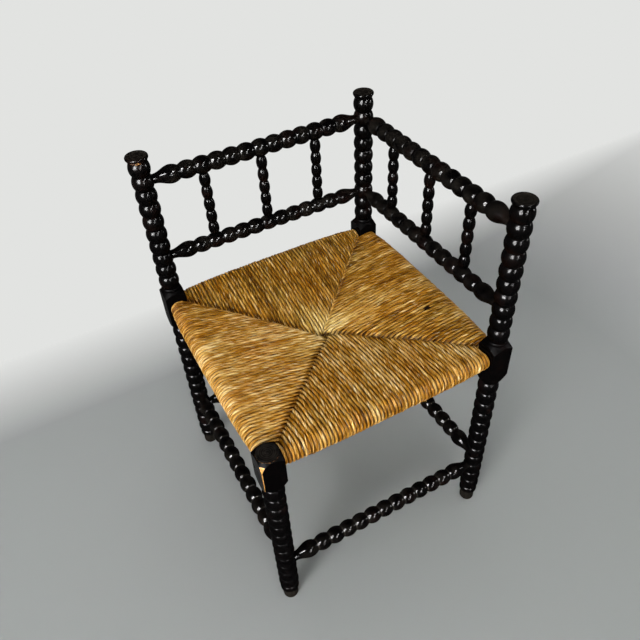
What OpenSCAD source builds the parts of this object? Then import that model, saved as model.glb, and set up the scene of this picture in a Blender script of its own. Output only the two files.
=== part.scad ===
// Corner chair turned in the bobbin pattern, with a rush seat.
// Millimetres, +Z up. The origin is on the floor, under the middle of the seat.
// The back stands along +Y and the arm along +X, so the short leg is at -X, -Y.

/* [Plan and heights] */
// Distance between post axes along X
span_x = 410; // [390:1:440]
// Distance between post axes along Y
span_y = 410; // [390:1:440]
// Height of a tall post, from the floor to the top of its cap
post_h = 717; // [680:1:760]
// Height of the upper square corners of a tall post's seat block
block_top_z = 440; // [420:1:460]

/* [Posts] */
// Side of the square stock that a post is turned from
stock = 38; // [38:0.5:44]
// Largest diameter of the beads on a post
post_bead_d = 36; // [33:0.5:37]
// Diameter in the grooves between those beads
post_groove_d = 27; // [24:0.5:30]
// Number of beads above the seat
upper_bead_count = 10; // [9:1:12]
// Number of beads below the seat
leg_bead_count = 12; // [11:1:14]
// Diameter of the cap on a tall post
cap_d = 37; // [34:0.5:38]
// Length of the cap, with the short neck under it
cap_len = 9.5; // [8:0.5:14]
// Length of that neck
cap_neck_len = 3; // [1:0.5:3]
// Diameter of that neck
cap_neck_d = 32.5; // [28:0.5:33]
// Radius on both edges of the cap's rim
cap_rim_r = 3; // [1:0.25:3]
// Depth of the shallow dish turned in the top of a cap
cap_dish_depth = 1.3; // [0.1:0.1:2]
// Width of the flat ring left round the dish
cap_dish_rim = 2.5; // [1:0.5:4]
// Width of the dish's sloping side
cap_dish_slope = 2; // [1:0.5:4]

/* [Foot] */
// Diameter of the plain peg at the foot
foot_d = 27.5; // [24:0.5:30]
// Length of that peg
foot_len = 28; // [20:1:40]
// Radius on the peg's lower edge
foot_edge_r = 3; // [1:0.5:5]
// Length of the half bead above the peg
foot_tail_len = 12; // [10:0.5:18]
// Largest diameter of the half bead
foot_tail_d = 34; // [31:0.5:36]

/* [Seat block] */
// Length of the part that keeps its square corners
block_len = 58; // [54:1:80]
// Length of the turned cone under those corners
under_cone_len = 24; // [16:0.5:28]
// Length of the turned cone over those corners
over_cone_len = 10.5; // [8:0.5:14]
// Diameter where that cone meets the ring over it
over_cone_d = 31; // [28:0.5:33]
// Length of that ring
ring_len = 7; // [4:0.5:9]
// Diameter of that ring
ring_d = 34; // [33:0.5:37]
// Diameter of the disc on top of the short leg
disc_d = 33.5; // [28:0.5:36]
// Height of that disc over the groove that is cut round it
disc_h = 2; // [1:0.5:3]
// Width of that groove
disc_groove = 1; // [0.5:0.5:2]
// Height of the short leg's top over the tall posts' upper square corners
short_rise = 2; // [0:0.5:5]
// Length of the cone from the short leg's own square corners up to its top
short_cone_len = 12; // [9:0.5:15]

/* [Rails and stretchers] */
// Number of beads on a rail or stretcher
rail_bead_count = 11; // [9:2:13]
// Largest diameter of a top rail
top_rail_d = 31; // [28:0.5:34]
// Diameter in a top rail's grooves
top_rail_groove_d = 22; // [18:0.5:25]
// Largest diameter of a lower rail
lower_rail_d = 28.5; // [26:0.5:32]
// Diameter in a lower rail's grooves
lower_rail_groove_d = 20.5; // [17:0.5:24]
// Largest diameter of a stretcher
stretcher_d = 30; // [27:0.5:33]
// Diameter in a stretcher's grooves
stretcher_groove_d = 21; // [18:0.5:25]
// Length of the full part of the pear at a rail's end
pear_bulge_len = 14; // [10:0.5:16]
// Length of its taper, down to the neck
pear_taper_len = 29; // [22:0.5:34]
// Diameter of the neck that enters the post
neck_d = 16; // [13:0.5:18]
// Post bead that a top rail enters, counted from the cap
top_rail_bead_no = 2; // [1:1:3]
// Post bead that a lower rail enters, counted from the cap
lower_rail_bead_no = 8; // [6:1:9]
// Height of the front stretcher
front_stretcher_z = 118; // [95:1:130]
// Height of the back stretcher
back_stretcher_z = 120; // [95:1:130]
// Height of the left stretcher
left_stretcher_z = 154; // [138:1:180]
// Height of the right stretcher
right_stretcher_z = 140; // [138:1:180]

/* [Spindles] */
// Largest diameter of a spindle
spindle_d = 19.5; // [16:0.5:22]
// Diameter in a spindle's grooves
spindle_groove_d = 13; // [11:0.5:15]
// Number of beads on a spindle
spindle_bead_count = 5; // [4:1:7]
// Number of rail beads from one spindle to the next
spindle_step_count = 4; // [3:1:4]
// Diameter of a spindle's tenon
spindle_tenon_d = 10; // [8:0.5:11]
// Depth of a spindle's tenon in its rail
spindle_tenon_len = 9; // [6:0.5:11]

/* [Seat] */
// Distance from the top of the block's square part down to the seat rail axis
seat_rail_drop = 22.5; // [20:0.5:30]
// Diameter of a seat rail at its middle
seat_rail_mid_d = 24; // [22:0.5:30]
// Diameter of a seat rail at its ends
seat_rail_end_d = 15.5; // [15.5:0.5:21]
// How long a seat rail keeps its girth: 2 tapers all along, 6 only near its ends
seat_rail_power = 4; // [2:0.5:6]
// Diameter of a seat rail's tenon
seat_tenon_d = 13; // [10:0.5:15]
// Thickness of the layer of rush cord
rush_layer = 6.2; // [5:0.2:8]
// How far the top of the seat sinks in the middle
seat_sag = 36; // [20:1:40]
// How far the underside sinks in the middle
under_sag = 14; // [6:1:20]
// How the sinking spreads: 1 makes a straight slope from the rails to the middle
sag_power = 1.05; // [1:0.05:1.5]
// How far each woven panel swells above its seams
panel_crown = 3; // [0:0.5:5]

/* [Packing] */
// Distance from the middle of the seat to the narrow end of a packing wad
packing_inner = 50; // [40:1:80]
// Distance from a seat rail's surface to the wide end of a packing wad
packing_outer_gap = 16; // [12:1:30]
// Distance from a packing wad's slanted side to the seam beside it, along the rail
packing_side_gap = 14; // [10:1:25]
// Thickness of rush left over and under a packing wad
packing_cover = 7; // [6:0.5:8]

/* [Fits] */
// Radial clearance of a tenon in its mortise
fit_gap = 0.1; // [0.05:0.05:0.2]
// Space between a tenon's end and the bottom of its mortise
glue_gap = 0.4; // [0.2:0.1:0.8]
// Wood left between the ends of tenons that meet in a post
tenon_web = 1.5; // [1:0.25:3]
// Clearance between the rush and the wood
rush_gap = 0.3; // [0.2:0.1:0.5]

/* [Hidden] */

$fn = 48;
wood = "#1c1512";
rush = "#b98d48";
straw = "#a8864f";

hx = span_x / 2;
hy = span_y / 2;

// Heights of the stages of a post, from the floor up
leg_z = foot_len + foot_tail_len;
block_z = block_top_z - block_len;
leg_top_z = block_z - under_cone_len;
upper_z = block_top_z + over_cone_len + ring_len;
upper_top_z = post_h - cap_len;
short_top_z = block_top_z + short_rise;

leg_bead_len = (leg_top_z - leg_z) / leg_bead_count;
upper_bead_len = (upper_top_z - upper_z) / upper_bead_count;

// Height of the middle of a bead above the seat, counted from the cap
function bead_mid_z(no) = upper_top_z - (no - 1 / 2) * upper_bead_len;

top_rail_z = bead_mid_z(top_rail_bead_no);
lower_rail_z = bead_mid_z(lower_rail_bead_no);
seat_rail_z = block_top_z - seat_rail_drop;

// Distance from a post's axis to the end of a tenon, so that crossing tenons stay apart
rail_stop = neck_d / 2 + tenon_web;
seat_stop = seat_tenon_d / 2 + tenon_web;

curve_steps = 8;
edge_steps = 3;

// Points of one bead, an arc that bulges from groove to groove, at a share of its length
function bead_point(z, len, d, groove, share) =
    let (
        rise = (d - groove) / 2,
        r = (len * len / 4 + rise * rise) / (2 * rise),
        off = (share - 0.5) * len
    )
    [d / 2 - r + sqrt(r * r - off * off), z + share * len];

function bead_run(z, count, len, d, groove) = [
    for (b = [0 : count - 1])
        for (i = [(b == 0 ? 0 : 1) : curve_steps])
            bead_point(z + b * len, len, d, groove, i / curve_steps)
];

// A quarter circle on an edge, from one angle to another
function edge_round(x, z, r, from, to) = [
    for (i = [0 : edge_steps])
        let (turn = from + (to - from) * i / edge_steps)
        [x + r * cos(turn), z + r * sin(turn)]
];

// Foot peg with a rounded edge, and over it the upper part of a bead that the peg cuts off
tail_start = 0.25;
tail_full_len = foot_tail_len / (1 - tail_start);

foot_points = concat(
    [[0, 0]],
    edge_round(foot_d / 2 - foot_edge_r, foot_edge_r, foot_edge_r, -90, 0),
    [[foot_d / 2, foot_len]],
    [for (i = [tail_start * curve_steps : curve_steps - 1])
        bead_point(leg_z - tail_full_len, tail_full_len, foot_tail_d, post_groove_d, i / curve_steps)]
);

leg_points = concat(
    foot_points,
    bead_run(leg_z, leg_bead_count, leg_bead_len, post_bead_d, post_groove_d)
);

// The lathe leaves the square stock whole where its profile is wider than the corners
block_reach = stock / sqrt(2) + stock / 40;

// Straight cone from the last groove under the block out past the block's corners
under_cone_points = [[block_reach, block_z]];

// Straight cone in from the corners, and the small ring between it and the first bead
over_cone_points = concat(
    [
        [block_reach, block_top_z],
        [over_cone_d / 2, block_top_z + over_cone_len]
    ],
    [for (i = [1 : curve_steps - 1])
        bead_point(block_top_z + over_cone_len, ring_len, ring_d, over_cone_d, i / curve_steps)]
);

cap_z = upper_top_z + cap_neck_len;
cap_rim_x = cap_d / 2 - cap_rim_r;

cap_points = concat(
    [[cap_neck_d / 2, upper_top_z + cap_neck_len / 6]],
    [[cap_neck_d / 2, cap_z]],
    edge_round(cap_rim_x, cap_z + cap_rim_r, cap_rim_r, -90, 0),
    edge_round(cap_rim_x, post_h - cap_rim_r, cap_rim_r, 0, 90),
    [[cap_rim_x - cap_dish_rim, post_h]],
    [[cap_rim_x - cap_dish_rim - cap_dish_slope, post_h - cap_dish_depth]],
    [[0, post_h - cap_dish_depth]]
);

// End of the short leg: a cone in from its corners, a groove, and a flat disc
short_end_points = [
    [block_reach, short_top_z - short_cone_len],
    [disc_d / 2 + disc_groove, short_top_z - disc_h],
    [disc_d / 2, short_top_z - disc_h],
    [disc_d / 2, short_top_z],
    [0, short_top_z]
];

module turned(points) {
    rotate_extrude()
        polygon(points);
}

// A post is square stock that the lathe has cut back to its profile
module post_blank(points, height) {
    intersection() {
        translate([-stock / 2, -stock / 2, 0])
            cube([stock, stock, height]);
        turned(points);
    }
}

module tall_blank() {
    post_blank(
        concat(
            leg_points,
            under_cone_points,
            over_cone_points,
            bead_run(upper_z, upper_bead_count, upper_bead_len, post_bead_d, post_groove_d),
            cap_points
        ),
        post_h
    );
}

module short_blank() {
    post_blank(concat(leg_points, under_cone_points, short_end_points), short_top_z);
}

// Blind round mortise that opens towards +X, turned by the given angle
module mortise(turn, z, d, stop) {
    rotate([0, 0, turn])
        translate([stop - glue_gap, 0, z])
            rotate([0, 90, 0])
                cylinder(h = stock, d = d + 2 * fit_gap);
}

module leg_mortises(turn, stretcher_z) {
    mortise(turn, seat_rail_z, seat_tenon_d, seat_stop);
    mortise(turn, stretcher_z, neck_d, rail_stop);
}

module back_mortises(turn) {
    mortise(turn, top_rail_z, neck_d, rail_stop);
    mortise(turn, lower_rail_z, neck_d, rail_stop);
}

module left_post() {
    color(wood)
        translate([-hx, hy, 0])
            difference() {
                tall_blank();
                back_mortises(0);
                leg_mortises(0, back_stretcher_z);
                leg_mortises(-90, left_stretcher_z);
            }
}

module corner_post() {
    color(wood)
        translate([hx, hy, 0])
            difference() {
                tall_blank();
                back_mortises(180);
                back_mortises(-90);
                leg_mortises(180, back_stretcher_z);
                leg_mortises(-90, right_stretcher_z);
            }
}

module right_post() {
    color(wood)
        translate([hx, -hy, 0])
            difference() {
                tall_blank();
                back_mortises(90);
                leg_mortises(90, right_stretcher_z);
                leg_mortises(180, front_stretcher_z);
            }
}

module front_leg() {
    color(wood)
        translate([-hx, -hy, 0])
            difference() {
                short_blank();
                leg_mortises(0, front_stretcher_z);
                leg_mortises(90, left_stretcher_z);
            }
}

taper_steps = 5;

// How far the beads reach from the middle of a rail between post axes 2 * half apart
function beads_reach(half) = half - post_bead_d / 2 - pear_taper_len - pear_bulge_len;

function rail_bead_len(half) = 2 * beads_reach(half) / rail_bead_count;

// One end of a beaded rail, from the last groove over the pear to the tenon's tip
function pear_points(half, d, groove) =
    let (
        start = beads_reach(half),
        taper_start = start + pear_bulge_len
    )
    concat(
        [for (i = [1 : curve_steps / 2])
            bead_point(start, 2 * pear_bulge_len, d, groove, i / curve_steps)],
        [for (i = [1 : taper_steps])
            let (share = i / taper_steps)
            [
                neck_d / 2 + (d - neck_d) / 2 * (1 + cos(180 * share)) / 2,
                taper_start + pear_taper_len * share
            ]],
        [
            [neck_d / 2, half - rail_stop],
            [0, half - rail_stop]
        ]
    );

function flipped(list) = [for (i = [len(list) - 1 : -1 : 0]) [list[i][0], -list[i][1]]];

// A beaded rail along Z, centred, between post axes 2 * half apart
module beaded_rail(half, d, groove) {
    tip = pear_points(half, d, groove);
    turned(concat(
        flipped(tip),
        bead_run(-beads_reach(half), rail_bead_count, rail_bead_len(half), d, groove),
        tip
    ));
}

module along_x(y, z) {
    translate([0, y, z])
        rotate([0, 90, 0])
            children();
}

module along_y(x, z) {
    translate([x, 0, z])
        rotate([-90, 0, 0])
            children();
}

// How far an outer spindle stands from the middle one, so that each meets a bead's crest
function spindle_place(half) = spindle_step_count * rail_bead_len(half);

spindle_hole_d = spindle_tenon_d + 2 * fit_gap;

// Mortises for the spindles, open downwards or upwards, at a rail of diameter d
module spindle_holes(half, d, open_down) {
    depth = spindle_tenon_len + glue_gap;
    for (side = [-1 : 1])
        translate([side * spindle_place(half), 0, open_down ? -d : d / 2 - depth])
            cylinder(h = d / 2 + depth, d = spindle_hole_d);
}

module bored_rail(half, z, d, groove, open_down) {
    difference() {
        along_x(0, z)
            beaded_rail(half, d, groove);
        translate([0, 0, z])
            spindle_holes(half, d, open_down);
    }
}

module back_top_rail() {
    color(wood)
        translate([0, hy, 0])
            bored_rail(hx, top_rail_z, top_rail_d, top_rail_groove_d, true);
}

module arm_top_rail() {
    color(wood)
        translate([hx, 0, 0])
            rotate([0, 0, 90])
                bored_rail(hy, top_rail_z, top_rail_d, top_rail_groove_d, true);
}

module back_lower_rail() {
    color(wood)
        translate([0, hy, 0])
            bored_rail(hx, lower_rail_z, lower_rail_d, lower_rail_groove_d, false);
}

module arm_lower_rail() {
    color(wood)
        translate([hx, 0, 0])
            rotate([0, 0, 90])
                bored_rail(hy, lower_rail_z, lower_rail_d, lower_rail_groove_d, false);
}

spindle_base_z = lower_rail_z + lower_rail_d / 2;
spindle_head_z = top_rail_z - top_rail_d / 2;
spindle_bead_len = (spindle_head_z - spindle_base_z) / spindle_bead_count;

module spindle(x, y) {
    color(wood)
        translate([x, y, 0])
            turned(concat(
                [
                    [0, spindle_base_z - spindle_tenon_len],
                    [spindle_tenon_d / 2, spindle_base_z - spindle_tenon_len],
                    [spindle_tenon_d / 2, spindle_base_z]
                ],
                bead_run(spindle_base_z, spindle_bead_count, spindle_bead_len, spindle_d, spindle_groove_d),
                [
                    [spindle_tenon_d / 2, spindle_head_z],
                    [spindle_tenon_d / 2, spindle_head_z + spindle_tenon_len],
                    [0, spindle_head_z + spindle_tenon_len]
                ]
            ));
}

module back_spindle_left() {
    spindle(-spindle_place(hx), hy);
}

module back_spindle_middle() {
    spindle(0, hy);
}

module back_spindle_right() {
    spindle(spindle_place(hx), hy);
}

module arm_spindle_rear() {
    spindle(hx, spindle_place(hy));
}

module arm_spindle_middle() {
    spindle(hx, 0);
}

module arm_spindle_front() {
    spindle(hx, -spindle_place(hy));
}

module front_stretcher() {
    color(wood)
        along_x(-hy, front_stretcher_z)
            beaded_rail(hx, stretcher_d, stretcher_groove_d);
}

module back_stretcher() {
    color(wood)
        along_x(hy, back_stretcher_z)
            beaded_rail(hx, stretcher_d, stretcher_groove_d);
}

module left_stretcher() {
    color(wood)
        along_y(-hx, left_stretcher_z)
            beaded_rail(hy, stretcher_d, stretcher_groove_d);
}

module right_stretcher() {
    color(wood)
        along_y(hx, right_stretcher_z)
            beaded_rail(hy, stretcher_d, stretcher_groove_d);
}

// How far a seat rail swells over its end radius, at a share of its half length
function rail_swell(share) =
    (seat_rail_mid_d - seat_rail_end_d) / 2 * max(0, 1 - pow(abs(share), seat_rail_power));

seat_rail_steps = 14;

// Barrel-shaped seat rail along Z between two blocks, grown and run on by given amounts
module seat_barrel(half, grow, past) {
    reach = half - stock / 2;
    turned(concat(
        [[0, -reach - past]],
        [for (i = [0 : seat_rail_steps])
            let (
                share = -1 + 2 * i / seat_rail_steps,
                at_end = i == 0 || i == seat_rail_steps
            )
            [
                seat_rail_end_d / 2 + rail_swell(share) + grow,
                share * (reach + (at_end ? past : 0))
            ]],
        [[0, reach + past]]
    ));
}

module seat_rail(half) {
    union() {
        seat_barrel(half, 0, 0);
        cylinder(h = 2 * (half - seat_stop), d = seat_tenon_d, center = true);
    }
}

module front_seat_rail() {
    color(wood)
        along_x(-hy, seat_rail_z)
            seat_rail(hx);
}

module back_seat_rail() {
    color(wood)
        along_x(hy, seat_rail_z)
            seat_rail(hx);
}

module left_seat_rail() {
    color(wood)
        along_y(-hx, seat_rail_z)
            seat_rail(hy);
}

module right_seat_rail() {
    color(wood)
        along_y(hx, seat_rail_z)
            seat_rail(hy);
}

// The woven seat: rings of points that run round the four sides
side_steps = 10;

// Radius of the roll of cord round a rail, at a share of the way from its middle to a block
function roll_r(share) = seat_rail_end_d / 2 + rail_swell(share) + rush_gap + rush_layer;

// How far a place on a panel stands above or below the rail axis. ring is 0 in the middle
// of the seat and 1 over the rail, and across runs from -1 to 1 between the two seams.
function top_height(ring, across, share) =
    roll_r(share) - seat_sag * pow(1 - ring, sag_power)
    + panel_crown * 4 * ring * (1 - ring) * (1 - pow(across, 4));

function under_height(ring, across, share) =
    -roll_r(share) - under_sag * pow(1 - ring, sag_power);

// A point of side number side: out is the distance from the middle, along is along the rail
function side_point(side, out_x, out_y, along_x, along_y, z) =
    side == 0 ? [out_x, along_y, z] :
    side == 1 ? [-along_x, out_y, z] :
    side == 2 ? [-out_x, -along_y, z] :
    [along_x, -out_y, z];

function share_along(side, across, ring) =
    let (half = side % 2 == 0 ? hy : hx)
    min(1, abs(across) * ring * half / (half - stock / 2));

function panel_ring(ring, top) = [
    for (side = [0 : 3])
        for (i = [0 : side_steps - 1])
            let (
                across = -1 + 2 * i / side_steps,
                share = share_along(side, across, ring),
                height = top ? top_height(ring, across, share) : under_height(ring, across, share)
            )
            side_point(
                side, ring * hx, ring * hy, across * ring * hx, across * ring * hy,
                seat_rail_z + height
            )
];

// A ring on the roll round the rails, at an angle from straight out
function roll_ring(turn) = [
    for (side = [0 : 3])
        for (i = [0 : side_steps - 1])
            let (
                across = -1 + 2 * i / side_steps,
                share = share_along(side, across, 1),
                r = roll_r(share),
                corner = roll_r(1) * cos(turn)
            )
            side_point(
                side, hx + r * cos(turn), hy + r * cos(turn),
                across * (hx + corner), across * (hy + corner),
                seat_rail_z + r * sin(turn)
            )
];

top_rings = [0.15, 0.35, 0.55, 0.75, 0.9];
roll_turns = [90, 60, 30, 0, -30, -60, -90];
under_rings = [0.9, 0.6, 0.3];

seat_rings = concat(
    [for (ring = top_rings) panel_ring(ring, true)],
    [for (turn = roll_turns) roll_ring(turn)],
    [for (ring = under_rings) panel_ring(ring, false)]
);

module woven_form() {
    count = 4 * side_steps;
    rings = len(seat_rings);
    points = concat(
        [for (ring = seat_rings) for (p = ring) p],
        [
            [0, 0, seat_rail_z + top_height(0, 0, 0)],
            [0, 0, seat_rail_z + under_height(0, 0, 0)]
        ]
    );
    top_centre = rings * count;
    faces = concat(
        [for (i = [0 : count - 1]) [top_centre, (i + 1) % count, i]],
        [for (r = [0 : rings - 2]) for (i = [0 : count - 1])
            [r * count + i, r * count + (i + 1) % count, (r + 1) * count + i]],
        [for (r = [0 : rings - 2]) for (i = [0 : count - 1])
            [r * count + (i + 1) % count, (r + 1) * count + (i + 1) % count, (r + 1) * count + i]],
        [for (i = [0 : count - 1])
            [top_centre + 1, (rings - 1) * count + i, (rings - 1) * count + (i + 1) % count]]
    );
    polyhedron(points = points, faces = faces, convexity = 6);
}

// A packing wad fills the space between the two layers of cord behind one rail
module packing_wad(side, grow) {
    half_out = side % 2 == 0 ? hx : hy;
    half_along = side % 2 == 0 ? hy : hx;
    outer = half_out - seat_rail_mid_d / 2 - packing_outer_gap;
    ends = [packing_inner - grow, outer + grow];
    corners = [
        for (out = ends)
            let (
                ring = out / half_out,
                wide = ring * half_along - packing_side_gap + grow,
                share = min(1, wide / (half_along - stock / 2)),
                high = top_height(ring, 1, share) - packing_cover + grow,
                low = under_height(ring, 1, share) + packing_cover - grow
            )
            for (along = [-wide, wide])
                for (height = [low, high])
                    [out, along, seat_rail_z + height]
    ];
    rotate([0, 0, 90 * side])
        polyhedron(
            points = corners,
            faces = [
                [2, 3, 1, 0], [5, 7, 6, 4], [1, 5, 4, 0],
                [6, 7, 3, 2], [3, 7, 5, 1], [4, 6, 2, 0]
            ]
        );
}

block_hole = stock + 2 * rush_gap;

module rush_seat() {
    color(rush)
        difference() {
            woven_form();
            for (y = [-hy, hy])
                along_x(y, seat_rail_z)
                    seat_barrel(hx, rush_gap, rush_gap);
            for (x = [-hx, hx])
                along_y(x, seat_rail_z)
                    seat_barrel(hy, rush_gap, rush_gap);
            for (x = [-hx, hx])
                for (y = [-hy, hy])
                    translate([x, y, seat_rail_z])
                        cube([block_hole, block_hole, 2 * block_len], center = true);
            for (side = [0 : 3])
                packing_wad(side, rush_gap);
        }
}

module right_packing() {
    color(straw)
        packing_wad(0, 0);
}

module back_packing() {
    color(straw)
        packing_wad(1, 0);
}

module left_packing() {
    color(straw)
        packing_wad(2, 0);
}

module front_packing() {
    color(straw)
        packing_wad(3, 0);
}

left_post();
corner_post();
right_post();
front_leg();
back_top_rail();
arm_top_rail();
back_lower_rail();
arm_lower_rail();
back_spindle_left();
back_spindle_middle();
back_spindle_right();
arm_spindle_rear();
arm_spindle_middle();
arm_spindle_front();
front_seat_rail();
back_seat_rail();
left_seat_rail();
right_seat_rail();
front_stretcher();
back_stretcher();
left_stretcher();
right_stretcher();
rush_seat();
front_packing();
back_packing();
left_packing();
right_packing();
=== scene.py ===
import math
import random

import bmesh
import bpy
from mathutils import Matrix, Vector, noise


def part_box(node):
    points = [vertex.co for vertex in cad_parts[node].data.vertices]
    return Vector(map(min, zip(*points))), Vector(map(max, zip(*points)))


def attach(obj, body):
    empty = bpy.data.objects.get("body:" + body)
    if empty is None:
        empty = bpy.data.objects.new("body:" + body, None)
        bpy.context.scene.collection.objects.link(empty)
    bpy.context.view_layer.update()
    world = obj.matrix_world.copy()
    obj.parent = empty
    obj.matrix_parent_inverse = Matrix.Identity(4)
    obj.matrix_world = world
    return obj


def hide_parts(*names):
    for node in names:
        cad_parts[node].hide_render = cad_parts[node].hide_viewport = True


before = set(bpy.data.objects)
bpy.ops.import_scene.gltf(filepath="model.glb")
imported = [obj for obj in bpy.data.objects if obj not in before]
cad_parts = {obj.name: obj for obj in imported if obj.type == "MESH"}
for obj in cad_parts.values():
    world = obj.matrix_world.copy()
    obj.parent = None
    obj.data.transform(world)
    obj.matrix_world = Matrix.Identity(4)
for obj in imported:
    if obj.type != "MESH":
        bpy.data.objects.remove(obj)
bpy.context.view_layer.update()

print("frame loaded:", len(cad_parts), "nodes")

scene = bpy.context.scene
mm = 0.001
fullTurn = 2 * math.pi
samePlace = 1e-6  # metres, nearer than which two vertices are one


# A colour as it is picked on screen, turned to the linear values that the shaders want
def colour(hexText):
    parts = [int(hexText[i:i + 2], 16) / 255 for i in (1, 3, 5)]
    linear = [c / 12.92 if c <= 0.04045 else ((c + 0.055) / 1.055) ** 2.4 for c in parts]
    return (*linear, 1.0)


# Adds a node with its settings. Its sockets are given in their order, or by label or number, and each takes
# a value, an output or a whole node, whose first output in use is then linked. Stops are a colour ramp's
def addNode(tree, kind, sockets=(), stops=(), **settings):
    node = tree.nodes.new("ShaderNode" + kind)
    for name, value in settings.items():
        setattr(node, name, value)
    for name, value in sockets.items() if isinstance(sockets, dict) else enumerate(sockets):
        if isinstance(value, bpy.types.Node):
            value = next(output for output in value.outputs if output.enabled)
        if isinstance(value, bpy.types.NodeSocket):
            tree.links.new(value, node.inputs[name])
        else:
            node.inputs[name].default_value = value
    for i, (place, hexText) in enumerate(stops):
        elements = node.color_ramp.elements
        element = elements[i] if i < len(elements) else elements.new(place)
        element.position = place
        element.color = colour(hexText)
    return node


def newMaterial(name):
    material = bpy.data.materials.new(name)
    material.use_nodes = True
    material.node_tree.nodes.clear()
    return material, material.node_tree


# A pattern whose patches have a real size, in millimetres along each axis
def patternOf(tree, place, sizes, detail=3.0, roughness=0.5):
    where = addNode(tree, "Mapping", {"Vector": place, "Scale": [1 / (size * mm) for size in sizes]})
    look = {"Vector": where, "Scale": 1.0, "Detail": detail, "Roughness": roughness}
    return addNode(tree, "TexNoise", look)


# Camera, solved from the photograph

camera = {
    "place": (-0.36352, -0.72342, 1.18594),
    "azimuth": -26.169,
    "elevation": 42.887,
    "roll": 3.619,
    "lens": 35.855,
    "sensor": 36.0,
    "nearest": 0.05,
}


def placeCamera():
    data = bpy.data.cameras.new("camera")
    data.lens = camera["lens"]
    data.sensor_width = camera["sensor"]
    data.clip_start = camera["nearest"]
    item = bpy.data.objects.new("camera", data)
    scene.collection.objects.link(item)
    turn, rise, roll = (math.radians(camera[k]) for k in ("azimuth", "elevation", "roll"))
    ahead = Vector((-math.sin(turn) * math.cos(rise), math.cos(turn) * math.cos(rise), -math.sin(rise)))
    level = Vector((math.cos(turn), math.sin(turn), 0))
    down = ahead.cross(level)
    right = level * math.cos(roll) + down * math.sin(roll)
    below = down * math.cos(roll) - level * math.sin(roll)
    axes = Matrix((right, -below, -ahead)).transposed().to_4x4()
    item.matrix_world = Matrix.Translation(camera["place"]) @ axes
    scene.camera = item


placeCamera()


# Ebonised wood: turned beech, stained black and polished. It shows near-black with small crisp lights,
# a red-brown cast where the stain is thin, and bare tan wood where it is worn through

ebonised = {
    "grainLength": 45.0,    # mm, along the wood
    "grainWidth": 1.4,      # mm, wider than real beech grain, so that it shows
    "grainDepth": 0.05,     # mm
    "turningMark": 0.9,     # mm between the marks of the gouge, drawn coarser than real
    "markShare": 0.6,       # how deep they are, beside the grain
    "cloud": 35.0,          # mm, patches of thin stain and hazy polish
    "chafe": 3.5,           # mm, how a worn edge breaks up
    "ripple": 9.0,          # mm, left under the polish by the hand tool
    "rippleDepth": 0.8,     # mm
    "polish": 0.055,        # how much of a full varnish the old thin polish still is
    "leastPolish": 0.004,   # the same where it is worn dull
    "clear": 0.06, "hazy": 0.14,          # roughness of the polish
    "dullRough": 0.32, "bareRough": 0.3,  # what dulling and wear add to it
    "stain": [(0.3, "#020202"), (0.6, "#040303"), (0.85, "#0c0706")],
    "thinStain": [(0.3, "#070403"), (0.6, "#130907"), (0.85, "#28120b")],
    "oldBare": [(0.3, "#46301c"), (0.6, "#6b4a2c"), (0.85, "#8c6640")],
    "freshBare": [(0.3, "#b87a34"), (0.6, "#dba250"), (0.85, "#edc27c")],
    # Grey of the dust on the feet, the cap tops and in the grooves, and of the painted sheen on the rails
    "dustAndSheen": "#221f1b",
    # Where each pattern or mark begins and ends to tell
    "thinRange": (0.54, 0.76), "hazyRange": (0.35, 0.7),
    "freshRange": (0.62, 0.78), "bareRange": (0.88, 1.06), "ragged": 0.8,
    "dustAndSheenRange": (0.2, 0.6), "leastDustAndSheen": 0.4,
}


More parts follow.
